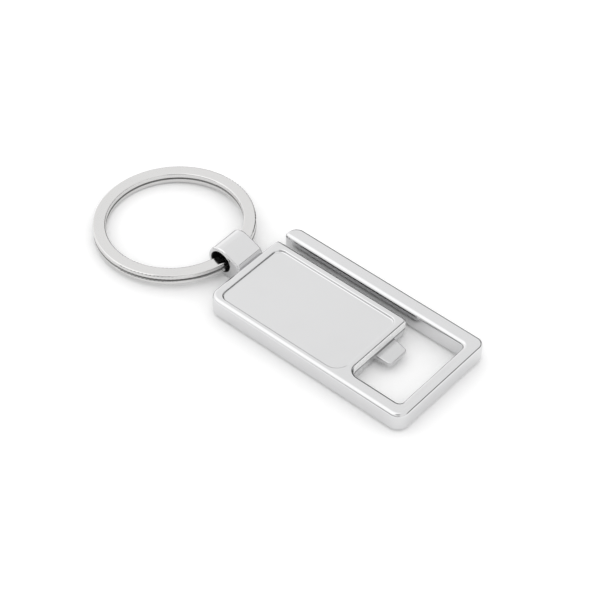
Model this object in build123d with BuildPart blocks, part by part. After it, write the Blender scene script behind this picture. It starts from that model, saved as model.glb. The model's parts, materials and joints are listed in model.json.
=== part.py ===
from build123d import *

import os
from math import asin, cos, degrees, radians, sin, sqrt, tan

# Keychain bottle opener: a cast opener body with an eye at one end, and a split ring through the eye.
# Millimetres. The body lies on its back at Z = 0, with its eye at -X and its free rail at +Y.

# --- Driving dimensions: frame of the opener body ---
body_length = 46.6
body_width = 25.5
body_thickness = 4.65
top_rounding = 0.8
bottom_rounding = 1.1

side_rail_width = 3.08
end_bar_width = 2.55
free_rail_width = 3.45
slot_width = 1.8
plate_length = 32.1

side_corner_radius = 2.5
end_corner_radius = 1.8
rail_tip_radius = 2.3
tight_corner_land = 0.1
opening_side_radius = 2.2
opening_end_radius = 0.9

# --- Driving dimensions: recess in the plate, left bare ---
recess_depth = 0.5
recess_draft = 14.0
recess_rounding = 0.25
recess_eye_margin = 1.8
recess_slot_margin = 1.65
recess_side_margin = 1.4
recess_end_margin = 1.15
recess_eye_radius = 1.7
recess_slot_radius = 1.5
recess_side_radius = 2.8

# --- Driving dimensions: lip of the plate's end, and the cap tooth under it ---
lip_height = 2.4
lip_overhang = 0.15
tooth_side_offset = 10.8
tooth_reach = 3.6
tooth_root_width = 5.6
tooth_tip_width = 4.9
tooth_root_thickness = 1.4
tooth_tip_thickness = 0.85
tooth_corner_radius = 0.7
tooth_rounding = 0.2
tooth_embed = 1.5

# --- Driving dimensions: eye and the strap that joins it to the body ---
eye_radius = 3.15
eye_hole_radius = 2.25
eye_width = 6.9
eye_distance = 5.0
eye_rounding = 0.4
eye_hole_rounding = 0.3
strap_slope = 22.0
notch_width = 0.65
notch_slope = 64.0
crease_rounding = 0.5
strap_rise = 0.3
strap_embed = 1.0

# --- Driving dimensions: split ring, one flat wire wound in two turns ---
ring_outer_diameter = 32.0
wire_width = 2.5
wire_thickness = 1.1
wire_rounding = 0.28
turn_gap = 0.1
jog_half_angle = 9.0
jog_sections = 7
ring_side_shift = -0.7
ring_eye_clearance = 0.12

# --- Places that follow from them ---
body_left = -body_length / 2
body_right = body_length / 2
body_side = -body_width / 2
body_far = body_width / 2
slot_far = body_far - free_rail_width
slot_near = slot_far - slot_width
opening_side = body_side + side_rail_width
opening_right = body_right - end_bar_width
plate_end = body_left + plate_length
eye_x = body_left - eye_distance
eye_z = eye_radius
tight_corner_radius = top_rounding + tight_corner_land


def rounded_face(sketch, corners):
    """Fill the closed outline through (x, y, radius) corners, and round each corner."""
    with BuildLine() as outline:
        Polyline(*[(x, y) for x, y, radius in corners], close=True)
    make_face(outline.edges())
    for x, y, radius in corners:
        if radius > 0:
            fillet(sketch.vertices().sort_by_distance((x, y, 0))[0], radius)


def body_corners(setback):
    """Corners of the body's outline, anticlockwise, with the plate's end set back from the lip."""
    return [
        (body_left, body_side, side_corner_radius),
        (body_right, body_side, side_corner_radius),
        (body_right, body_far, end_corner_radius),
        (body_left, body_far, rail_tip_radius),
        (body_left, slot_far, tight_corner_radius),
        (opening_right, slot_far, opening_end_radius),
        (opening_right, opening_side, opening_end_radius),
        (plate_end - setback, opening_side, opening_side_radius),
        (plate_end - setback, slot_near, tight_corner_radius),
        (body_left, slot_near, tight_corner_radius),
    ]


def recess_corners():
    """Corners of the recess, anticlockwise, each edge at its margin inside the plate's edge."""
    recess_left = body_left + recess_eye_margin
    recess_right = plate_end - recess_end_margin
    recess_side = body_side + recess_side_margin
    recess_slot = slot_near - recess_slot_margin
    return [
        (recess_left, recess_side, recess_eye_radius),
        (recess_right, recess_side, recess_side_radius),
        (recess_right, recess_slot, recess_slot_radius),
        (recess_left, recess_slot, recess_eye_radius),
    ]


# --- Cap tooth: a tongue that thins towards its tip, flat on top ---
tooth_side = body_side + tooth_side_offset
tooth_root = plate_end - tooth_embed
tooth_tip = plate_end + tooth_reach

with BuildPart() as tooth:
    with BuildSketch(Plane.XY.offset(lip_height)) as tooth_plan:
        rounded_face(
            tooth_plan,
            [
                (tooth_root, tooth_side, 0),
                (tooth_tip, tooth_side, tooth_corner_radius),
                (tooth_tip, tooth_side + tooth_tip_width, tooth_corner_radius),
                (plate_end, tooth_side + tooth_root_width, 0),
                (tooth_root, tooth_side + tooth_root_width, 0),
            ],
        )
    extrude(amount=-tooth_root_thickness)
    with BuildSketch(Plane.XZ):
        with BuildLine():
            Polyline(
                (tooth_root, lip_height),
                (tooth_root, lip_height - tooth_root_thickness),
                (plate_end, lip_height - tooth_root_thickness),
                (tooth_tip, lip_height - tooth_tip_thickness),
                (tooth_tip, lip_height),
                close=True,
            )
        make_face()
    extrude(amount=body_width, both=True, mode=Mode.INTERSECT)
    fillet(tooth.edges().filter_by_position(Axis.X, tooth_tip - tooth_corner_radius, tooth_tip), tooth_rounding)

# --- Eye: a barrel across the body, with a strap that falls to a notch at the body's end ---
strap_angle = radians(strap_slope)
strap_start = (eye_x + eye_radius * sin(strap_angle), eye_z + eye_radius * cos(strap_angle))
crease_x = body_left - notch_width
crease_z = strap_start[1] - (crease_x - strap_start[0]) * tan(strap_angle)
notch_z = crease_z - notch_width * tan(radians(notch_slope))
strap_root = body_left + strap_embed

with BuildPart() as eye:
    with BuildSketch(Plane.XZ) as eye_profile:
        with Locations((eye_x, eye_z)):
            Circle(eye_radius)
        with BuildLine():
            Polyline(
                (eye_x, eye_z),
                strap_start,
                (crease_x, crease_z),
                (body_left, notch_z),
                (strap_root, notch_z),
                (strap_root, strap_rise),
                (body_left, strap_rise),
                (eye_x, 0),
                close=True,
            )
        make_face()
        fillet(eye_profile.vertices().sort_by_distance((crease_x, crease_z, 0))[0], crease_rounding)
        with Locations((eye_x, eye_z)):
            Circle(eye_hole_radius, mode=Mode.SUBTRACT)
    extrude(amount=eye_width / 2, both=True)
    hole_edges = eye.faces().filter_by(Axis.Y).edges().filter_by(lambda edge: edge.is_closed)
    fillet(hole_edges, eye_hole_rounding)
    rim_edges = eye.faces().filter_by(Axis.Y).edges().filter_by(lambda edge: not edge.is_closed)
    fillet(rim_edges, eye_rounding)

# --- Opener body: frame, plate, tooth and eye in one casting ---
with BuildPart() as opener_body:
    for bottom, top, setback in ((0, lip_height, lip_overhang), (lip_height, body_thickness, 0)):
        with BuildSketch(Plane.XY.offset(bottom)) as layer:
            rounded_face(layer, body_corners(setback))
        extrude(amount=top - bottom)
    fillet(opener_body.edges().group_by(Axis.Z)[-1], top_rounding)
    fillet(opener_body.edges().group_by(Axis.Z)[0], bottom_rounding)
    with BuildSketch(Plane.XY.offset(body_thickness)) as recess:
        rounded_face(recess, recess_corners())
    extrude(amount=-recess_depth, taper=recess_draft, mode=Mode.SUBTRACT)
    recess_levels = opener_body.edges(Select.LAST).group_by(Axis.Z)
    fillet(recess_levels[0] + recess_levels[-1], recess_rounding)
    add(tooth.part)
    add(eye.part)

# --- Split ring, flat about its own centre: two turns, and a jog where the wire steps up ---
ring_outer_radius = ring_outer_diameter / 2
ring_mean_radius = ring_outer_radius - wire_width / 2
ring_thickness = 2 * wire_thickness + turn_gap
turn_pitch = wire_thickness + turn_gap


def wire_plane(angle, height):
    """Plane across the wire at an angle round the ring, X outward and Y up."""
    outward = (cos(radians(angle)), sin(radians(angle)), 0)
    backward = (sin(radians(angle)), -cos(radians(angle)), 0)
    origin = (ring_mean_radius * outward[0], ring_mean_radius * outward[1], height)
    return Plane(origin=origin, x_dir=outward, z_dir=backward)


with BuildPart() as flat_ring:
    for turn_height in (-turn_pitch / 2, turn_pitch / 2):
        with BuildSketch(wire_plane(jog_half_angle, turn_height)):
            RectangleRounded(wire_width, wire_thickness, wire_rounding)
        revolve(axis=Axis.Z, revolution_arc=360 - 2 * jog_half_angle)
    for section in range(jog_sections):
        share = section / (jog_sections - 1)
        eased = share * share * (3 - 2 * share)
        with BuildSketch(wire_plane(jog_half_angle * (2 * share - 1), turn_pitch * (eased - 0.5))):
            RectangleRounded(wire_width, wire_thickness, wire_rounding)
    loft()

# The ring hangs in the hole on the lower corners of its wire, and its far side rests at Z = 0.
wire_reach = eye_width / 2 - eye_hole_rounding + abs(ring_side_shift)
wire_bow = ring_mean_radius - sqrt(ring_mean_radius**2 - wire_reach**2)
corner_distance = eye_hole_radius - wire_rounding - ring_eye_clearance
corner_offset = wire_width / 2 - wire_rounding + wire_bow / 2
corner_drop = sqrt(corner_distance**2 - corner_offset**2)
wire_x = eye_x + wire_bow / 2
wire_z = eye_z - corner_drop + ring_thickness / 2 - wire_rounding
ring_span = ring_outer_radius - wire_rounding + ring_mean_radius
ring_tilt = asin((wire_z - ring_thickness / 2) / ring_span)
ring_centre = (
    wire_x - ring_mean_radius * cos(ring_tilt),
    ring_side_shift,
    wire_z - ring_mean_radius * sin(ring_tilt),
)

with BuildPart() as split_ring:
    with Locations(Location(ring_centre, (0, -degrees(ring_tilt), 0))):
        add(flat_ring.part)

print(f"eye centre {eye_x:.3f}, {eye_z:.3f}")
print(f"ring centre {ring_centre[0]:.3f}, {ring_centre[1]:.3f}, {ring_centre[2]:.3f}, tilt {degrees(ring_tilt):.2f}")

# --- Finished pieces ---
opener_body.part.label = "opener_body"
split_ring.part.label = "split_ring"
os.makedirs("parts", exist_ok=True)
export_step(opener_body.part, "parts/opener_body.step")
export_step(split_ring.part, "parts/split_ring.step")
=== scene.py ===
"""Keychain bottle opener: bright nickel-plated casting and split ring on a white studio floor."""

import json
from functools import reduce
from math import cos, radians, sin

import bpy
from mathutils import Matrix, Vector


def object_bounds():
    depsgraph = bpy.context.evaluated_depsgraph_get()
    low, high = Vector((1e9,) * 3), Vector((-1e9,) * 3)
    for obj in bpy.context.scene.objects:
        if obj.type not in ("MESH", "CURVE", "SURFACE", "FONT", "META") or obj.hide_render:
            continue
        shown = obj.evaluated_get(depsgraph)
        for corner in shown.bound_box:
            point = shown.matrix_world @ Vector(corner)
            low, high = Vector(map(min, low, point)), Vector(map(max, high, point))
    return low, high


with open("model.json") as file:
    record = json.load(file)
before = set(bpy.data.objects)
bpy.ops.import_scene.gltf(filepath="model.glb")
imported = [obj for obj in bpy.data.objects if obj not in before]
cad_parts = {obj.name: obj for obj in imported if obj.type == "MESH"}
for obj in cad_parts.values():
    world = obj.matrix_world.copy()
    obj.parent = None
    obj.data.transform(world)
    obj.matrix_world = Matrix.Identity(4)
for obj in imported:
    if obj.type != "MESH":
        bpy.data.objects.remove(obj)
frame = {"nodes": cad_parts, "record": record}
cad_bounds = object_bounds()

# --- Camera: angles in degrees, distances in metres, lens and sensor in millimetres ---
VIEW_AZIMUTH = 39.55
VIEW_ELEVATION = 46.25
VIEW_ROLL = 1.39
VIEW_DISTANCE = 0.4116
VIEW_LENS = 129.7
SENSOR_WIDTH = 36.0
AIM_FROM_BACK_FACE = Vector((-0.01222, 0.00129, 0))

# --- Floor: its colour to the light, and the extra white that the eye and the metal see under open sky ---
FLOOR_SIZE = 3.0
FLOOR_COLOUR = (0.90, 0.90, 0.90, 1)
WHITE_LIFT = 0.24
SHADE_REACH = 0.06
SHADE_SAMPLES = 16

# --- Strengths of the room: its fill on matt surfaces, then the walls, boxes and gaps that metal mirrors ---
FILL_LIGHT = 1.0
WALL_LIGHT = 1.02
LEFT_WALL_LIGHT = 1.08
FRONT_BOX_LIGHT = 0.4
LEFT_BOX_LIGHT = 0.22
LOW_WALL_LIGHT = 0.1
BAR_DARKNESS = 0.97
BACK_GAP_DARKNESS = 0.95
FRONT_GAP_DARKNESS = 0.97
TRIPOD_DARKNESS = 0.6

# --- Patches of the room: azimuth and elevation of the centre in degrees, then the cosines of the angles
# from it where the patch begins and where it is full ---
FRONT_BOX = (-50, 55, 0.62, 0.97)
LEFT_BOX = (262, 5, 0.80, 0.97)
LEFT_WALL = (262, 5, 0.45, 0.70)
BACK_RIGHT = (165, 15, 0.45, 0.72)
BACK_GAP = (200, 5, 0.80, 0.92)
FRONT_GAP = (14, 0, 0.76, 0.80)
TRIPOD = (36, 56, 0.955, 0.975)

# --- Levels of the room, as sines of elevation: where each one begins and where it is full ---
FRONT_BOX_LEVELS = (0.28, 0.62)
LOW_WALL_LEVELS = (0.20, 0.14)
BACK_GAP_LEVELS = (0.30, 0.20)
FRONT_GAP_LEVELS = (0.23, 0.17)
BAR_MIDDLE = 0.33
BAR_FROM_MIDDLE = (0.17, 0.09)

# --- Bright plate: noise on the base metal, and the haze and hairlines of handling ---
RIPPLE = {"Scale": 260.0, "Detail": 2.0, "Roughness": 0.45}
RIPPLE_BUMP = {"Strength": 0.03, "Distance": 0.0002}
HAIRLINE = {"Detail": 3.0, "Roughness": 0.6}
HAIRLINE_RANGE = (0.5, 0.75)
HAIRLINE_ROUGHNESS = 0.03
HAIRLINE_BUMP = {"Strength": 0.03, "Distance": 0.00002}
HAZE = {"Scale": 120.0, "Detail": 5.0, "Roughness": 0.55}
HAZE_RANGE = (0.42, 0.72)
HAZE_SHADE = 0.985
HAZE_ROUGHNESS = 0.025

# --- Width over which a mark on the metal fades out, in metres ---
MARK_EDGE = 0.0001

# --- Trimmed end of the plate above the cap tooth, left satin, with its near-white colour a painted highlight, in metres ---
TRIM_DEPTH = 0.0006
TRIM_FACING = (0.75, 0.9)
SATIN_HIGHLIGHT_COLOUR = (0.98, 0.98, 0.98, 1)
SATIN_ROUGHNESS = 0.45
SATIN_SCATTER = 0.9

# --- Lower edge of that end, where shade is painted in as it turns under: height of the lip, and how far above it the painted shade begins and is full, in metres ---
LIP_HEIGHT = 0.0024
LIP_PAINTED_SHADE_ABOVE = (0.0005, 0.0002)
LIP_PAINTED_SHADE = 0.35

# --- As-cast bore of the eye, which stays dull, darkened with painted shade ---
BORE_RADIUS = 0.00235
BORE_PAINTED_SHADE = 0.12
BORE_ROUGHNESS = 0.5

# --- Cap tooth, a little darker and rougher than the frame, in metres ---
TOOTH_LENGTH = 0.0040
TOOTH_WIDTH = 0.0062
TOOTH_SHADE = 0.9
TOOTH_ROUGHNESS = 0.2

# --- Painted shade in the seam between the split ring's two turns: tilt of the ring in degrees, the rest in metres ---
RING_TILT = 2.79
SEAM_DROP = 0.00010
SEAM_RANGE = (0.00019, 0.00008)
SEAM_PAINTED_SHADE = 0.3
SEAM_ROUGHNESS = 0.35


def mount_place(name):
    """Place of one of the part's mounts, in metres."""
    return next(Vector(m["pos_m"]) for m in frame["record"]["mounts"] if m["name"] == name)


def opening_corners(name):
    """Lowest and highest corner of one of the part's stated openings, in metres."""
    openings = frame["record"]["physics"]["openings"]
    return next([Vector(corner) for corner in o["box_m"]] for o in openings if o["name"] == name)


def direction(azimuth, elevation):
    """Unit vector from the object outward; azimuth 0 is -Y and 90 is +X."""
    a, e = radians(azimuth), radians(elevation)
    return Vector((sin(a) * cos(e), -cos(a) * cos(e), sin(e)))


def shaded(colour, share):
    """Colour with alpha, at a share of its brightness."""
    return (*[share * channel for channel in colour], 1)


class Nodes:
    """Short way to build a node tree: add a node with its settings, and link sockets."""

    def __init__(self, tree):
        self.tree = tree
        self.tree.nodes.clear()

    def feed(self, socket, value):
        """Link a socket to the input, or set the input to a plain value."""
        if isinstance(value, bpy.types.NodeSocket):
            self.tree.links.new(value, socket)
        else:
            socket.default_value = value

    def add(self, kind, settings=None, **inputs):
        """New node; an underscore in an input's name stands for a space."""
        node = self.tree.nodes.new(kind)
        for name, value in (settings or {}).items():
            setattr(node, name, value)
        for name, value in inputs.items():
            self.feed(node.inputs[name.replace("_", " ")], value)
        return node

    def add_in_order(self, kind, settings, *values):
        """New node whose inputs are fed from the first one on."""
        node = self.add(kind, settings)
        for socket, value in zip(node.inputs, values):
            self.feed(socket, value)
        return node

    def maths(self, operation, *values):
        """Number from one or two numbers."""
        return self.add_in_order("ShaderNodeMath", {"operation": operation}, *values).outputs["Value"]

    def vectors(self, operation, *values):
        """Number or vector, as the operation gives, from one or two vectors."""
        node = self.add_in_order("ShaderNodeVectorMath", {"operation": operation}, *values)
        return node.outputs["Value" if operation in ("DOT_PRODUCT", "LENGTH") else "Vector"]

    def product(self, *values):
        """All the values multiplied."""
        return reduce(lambda first, second: self.maths("MULTIPLY", first, second), values)

    def highest(self, *values):
        """Highest of the values."""
        return reduce(lambda first, second: self.maths("MAXIMUM", first, second), values)

    def blend(self, share, first, second):
        """Colour between first and second, at a share of 0 to 1."""
        node = self.add("ShaderNodeMix", {"data_type": "RGBA"})
        for name, value in (("Factor", share), ("A", first), ("B", second)):
            self.feed(next(i for i in node.inputs if i.name == name and i.enabled), value)
        return next(o for o in node.outputs if o.enabled)

    def band(self, value, low, high, bottom=0.0, top=1.0):
        """Smooth ramp of value, from bottom at low to top at high."""
        ramp = {"interpolation_type": "SMOOTHSTEP"}
        return self.add_in_order("ShaderNodeMapRange", ramp, value, low, high, bottom, top).outputs["Result"]

    def split(self, vector):
        """Outputs X, Y and Z of a vector."""
        return self.add("ShaderNodeSeparateXYZ", Vector=vector).outputs

    def seat(self):
        """Place on the object, in metres, which stays with the piece when it moves."""
        return self.add("ShaderNodeTexCoord").outputs["Object"]

    def rays(self, *kinds):
        """1 for a ray of any of these kinds, and 0 for the others."""
        path = self.add("ShaderNodeLightPath").outputs
        return self.highest(*[path[f"Is {kind} Ray"] for kind in kinds])

    def glow(self, strength):
        """White background light of a strength."""
        return self.add("ShaderNodeBackground", Color=(1, 1, 1, 1), Strength=strength)

    def mix_shaders(self, share, first, second):
        """Shader between first and second, at a share of 0 to 1."""
        return self.add_in_order("ShaderNodeMixShader", None, share, first.outputs[0], second.outputs[0])


def satin_highlight_end(nodes):
    """Mask of the plate's end face, left satin where the casting's flash was trimmed off; its near-white colour is
    a painted highlight.
    """
    start = opening_corners("cap_opening_side")[0].x
    place = nodes.split(nodes.seat())
    normal = nodes.split(nodes.add("ShaderNodeTexCoord").outputs["Normal"])
    return nodes.product(
        nodes.band(normal["X"], *TRIM_FACING),
        nodes.band(place["X"], start - TRIM_DEPTH - MARK_EDGE, start - TRIM_DEPTH),
        nodes.band(place["X"], start + MARK_EDGE, start),
        nodes.band(place["Z"], LIP_HEIGHT - MARK_EDGE, LIP_HEIGHT),
    )


def lip_painted_shade(nodes):
    """Mask of painted shade on the rounded lower edge of the plate's end face, which turns under to the tooth."""
    place = nodes.split(nodes.seat())
    return nodes.band(place["Z"], *[LIP_HEIGHT + above for above in LIP_PAINTED_SHADE_ABOVE])


def tooth(nodes):
    """Mask of the cap tooth, which stands out from the plate's end beside the side opening."""
    low, high = opening_corners("cap_opening_side")
    place = nodes.split(nodes.seat())
    masks = [nodes.band(place["Z"], LIP_HEIGHT + 2 * MARK_EDGE, LIP_HEIGHT + MARK_EDGE)]
    for axis, start, span in (("X", low.x - MARK_EDGE, TOOTH_LENGTH), ("Y", high.y, TOOTH_WIDTH)):
        masks.append(nodes.band(place[axis], start - MARK_EDGE, start))
        masks.append(nodes.band(place[axis], start + span + MARK_EDGE, start + span))
    return nodes.product(*masks)


def eye_bore_shade(nodes):
    """Mask of the bore of the eye, about the axis on which the ring swings, where shade is painted in."""
    centre = Vector(frame["record"]["behaviour"]["joints"][0]["pos_m"])
    across = nodes.vectors("MULTIPLY", nodes.vectors("SUBTRACT", nodes.seat(), centre), (1.0, 0.0, 1.0))
    return nodes.band(nodes.vectors("LENGTH", across), BORE_RADIUS + MARK_EDGE, BORE_RADIUS)


def ring_seam_shade(nodes):
    """Mask of the seam between the ring's two turns, where shade is painted in."""
    upward = (-sin(radians(RING_TILT)), 0.0, cos(radians(RING_TILT)))
    from_centre = nodes.vectors("SUBTRACT", nodes.seat(), mount_place("key_loop"))
    level = nodes.vectors("DOT_PRODUCT", from_centre, upward)
    away = nodes.maths("ABSOLUTE", nodes.maths("ADD", level, SEAM_DROP))
    return nodes.band(away, *SEAM_RANGE)


def casting_marks(nodes, colour):
    """Marks of the opener's body, from the lowest up: mask, colour, least roughness, and loss of mirror."""
    end = satin_highlight_end(nodes)
    lip = nodes.product(end, lip_painted_shade(nodes))
    return [
        (tooth(nodes), shaded(colour, TOOTH_SHADE), TOOTH_ROUGHNESS, 0),
        # end face: real satin finish, and a near-white colour that is a painted highlight
        (end, SATIN_HIGHLIGHT_COLOUR, SATIN_ROUGHNESS, SATIN_SCATTER),
        # painted shade along the lip's lower edge, where it turns under to the tooth
        (lip, shaded(colour, LIP_PAINTED_SHADE), SATIN_ROUGHNESS, 0),
        # painted shade inside the eye's bore
        (eye_bore_shade(nodes), shaded(colour, BORE_PAINTED_SHADE), BORE_ROUGHNESS, 0),
    ]


def wire_marks(nodes, colour):
    """Marks of the split ring, in the same form."""
    # painted shade in the seam between the ring's turns
    return [(ring_seam_shade(nodes), shaded(colour, SEAM_PAINTED_SHADE), SEAM_ROUGHNESS, 0)]


def bright_plate(name, colour, roughness, grain, stretch, marks):
    """Polished nickel-chrome plate: faint ripple of the base metal, hairlines, handling haze, and marks."""
    material = bpy.data.materials.new(name)
    material.use_nodes = True
    nodes = Nodes(material.node_tree)
    place = nodes.seat()
    along = nodes.add("ShaderNodeMapping", Vector=place, Scale=stretch).outputs["Vector"]

    ripple = nodes.add("ShaderNodeTexNoise", Vector=place, **RIPPLE).outputs["Fac"]
    hairline = nodes.add("ShaderNodeTexNoise", Vector=along, Scale=grain, **HAIRLINE).outputs["Fac"]
    haze = nodes.add("ShaderNodeTexNoise", Vector=place, **HAZE).outputs["Fac"]

    worn = nodes.band(haze, *HAZE_RANGE)
    shade = nodes.blend(worn, shaded(colour, 1), shaded(colour, HAZE_SHADE))
    hazy = nodes.maths("ADD", nodes.product(worn, HAZE_ROUGHNESS), roughness)
    scratched = nodes.product(nodes.band(hairline, *HAIRLINE_RANGE), HAIRLINE_ROUGHNESS)
    rough = nodes.maths("ADD", hazy, scratched)
    mirror = 1.0
    for mask, mark_colour, mark_roughness, scatter in marks(nodes, colour):
        shade = nodes.blend(mask, shade, mark_colour)
        rough = nodes.highest(rough, nodes.product(mask, mark_roughness))
        if scatter:
            mirror = nodes.maths("SUBTRACT", mirror, nodes.product(mask, scatter))

    waves = nodes.add("ShaderNodeBump", Height=ripple, **RIPPLE_BUMP).outputs["Normal"]
    lines = nodes.add("ShaderNodeBump", Height=hairline, Normal=waves, **HAIRLINE_BUMP).outputs["Normal"]
    metal = nodes.add("ShaderNodeBsdfPrincipled", Base_Color=shade, Metallic=mirror, Roughness=rough, Normal=lines)
    nodes.add("ShaderNodeOutputMaterial", Surface=metal.outputs[0])
    return material


def dress(node, material):
    """Give one carried-over CAD piece its finish."""
    for slot in frame["nodes"][node].material_slots:
        slot.material = material


def floor():
    """White floor: it shows pure white to the eye and to the metal, and keeps the object's shadow."""
    material = bpy.data.materials.new("white_floor")
    material.use_nodes = True
    nodes = Nodes(material.node_tree)
    matt = nodes.add("ShaderNodeBsdfDiffuse", Color=FLOOR_COLOUR)
    open_sky = nodes.add("ShaderNodeAmbientOcclusion", {"samples": SHADE_SAMPLES}, Distance=SHADE_REACH)
    lift = nodes.product(nodes.rays("Camera", "Glossy", "Transmission"), open_sky.outputs["AO"], WHITE_LIFT)
    lifted = nodes.add("ShaderNodeEmission", Strength=lift)
    both = nodes.add_in_order("ShaderNodeAddShader", None, matt.outputs[0], lifted.outputs[0])
    nodes.add("ShaderNodeOutputMaterial", Surface=both.outputs[0])

    half = FLOOR_SIZE / 2
    height = cad_bounds[0].z
    mesh = bpy.data.meshes.new("studio_floor")
    corners = [(-half, -half, height), (half, -half, height), (half, half, height), (-half, half, height)]
    mesh.from_pydata(corners, [], [(0, 1, 2, 3)])
    mesh.materials.append(material)
    piece = bpy.data.objects.new("studio_floor", mesh)
    bpy.context.scene.collection.objects.link(piece)


def studio():
    """Pale room round the object: softboxes to the front and left, dark gaps and a dark bar between."""
    world = bpy.data.worlds.new("studio")
    world.use_nodes = True
    nodes = Nodes(world.node_tree)
    toward = nodes.add("ShaderNodeTexCoord").outputs["Generated"]
    height = nodes.split(toward)["Z"]

    def patch(place, bottom=0.0, top=1.0):
        azimuth, elevation, begins, full = place
        facing = nodes.vectors("DOT_PRODUCT", toward, direction(azimuth, elevation))
        return nodes.band(facing, begins, full, bottom, top)

    def darken(sky, darkness, *masks):
        return nodes.product(sky, nodes.maths("SUBTRACT", 1.0, nodes.product(*masks, darkness)))

    front_box = nodes.product(patch(FRONT_BOX, top=FRONT_BOX_LIGHT), nodes.band(height, *FRONT_BOX_LEVELS))
    left_box = patch(LEFT_BOX, top=LEFT_BOX_LIGHT)
    left_wall = patch(LEFT_WALL, bottom=WALL_LIGHT, top=LEFT_WALL_LIGHT)
    sky = nodes.maths("ADD", nodes.highest(front_box, left_box), left_wall)

    back_right = patch(BACK_RIGHT)
    low_wall = nodes.product(back_right, nodes.band(height, *LOW_WALL_LEVELS), LOW_WALL_LIGHT)
    sky = nodes.maths("ADD", sky, low_wall)

    from_middle = nodes.maths("ABSOLUTE", nodes.maths("SUBTRACT", height, BAR_MIDDLE))
    sky = darken(sky, BAR_DARKNESS, back_right, nodes.band(from_middle, *BAR_FROM_MIDDLE))
    sky = darken(sky, BACK_GAP_DARKNESS, patch(BACK_GAP), nodes.band(height, *BACK_GAP_LEVELS))
    sky = darken(sky, FRONT_GAP_DARKNESS, patch(FRONT_GAP), nodes.band(height, *FRONT_GAP_LEVELS))
    sky = darken(sky, TRIPOD_DARKNESS, patch(TRIPOD))

    lit = nodes.mix_shaders(nodes.rays("Glossy"), nodes.glow(FILL_LIGHT), nodes.glow(sky))
    seen = nodes.mix_shaders(nodes.rays("Camera", "Transmission"), lit, nodes.glow(1.0))
    nodes.add("ShaderNodeOutputWorld", Surface=seen.outputs[0])
    bpy.context.scene.world = world


def camera():
    """Camera above the opener's cap end, at the product view's angle."""
    data = bpy.data.cameras.new("product_view")
    data.sensor_width = SENSOR_WIDTH
    data.lens = VIEW_LENS
    data.clip_start = 0.01
    data.clip_end = 10.0
    piece = bpy.data.objects.new("product_view", data)
    outward = direction(VIEW_AZIMUTH, VIEW_ELEVATION)
    aim = mount_place("back_face") + AIM_FROM_BACK_FACE
    turn = outward.to_track_quat("Z", "Y").to_matrix() @ Matrix.Rotation(radians(VIEW_ROLL), 3, "Z")
    piece.matrix_world = Matrix.Translation(aim + outward * VIEW_DISTANCE) @ turn.to_4x4()
    bpy.context.scene.collection.objects.link(piece)
    bpy.context.scene.camera = piece


casting = bright_plate(
    "plated_casting",
    colour=(0.70, 0.70, 0.705),
    roughness=0.06,
    grain=900.0,
    stretch=(1.0, 12.0, 12.0),
    marks=casting_marks,
)
wire = bright_plate(
    "plated_wire",
    colour=(0.67, 0.665, 0.66),
    roughness=0.08,
    grain=1200.0,
    stretch=(1.0, 1.0, 8.0),
    marks=wire_marks,
)
dress("opener_body", casting)
dress("split_ring", wire)
floor()
studio()
camera()

bpy.context.scene.view_settings.view_transform = "Standard"
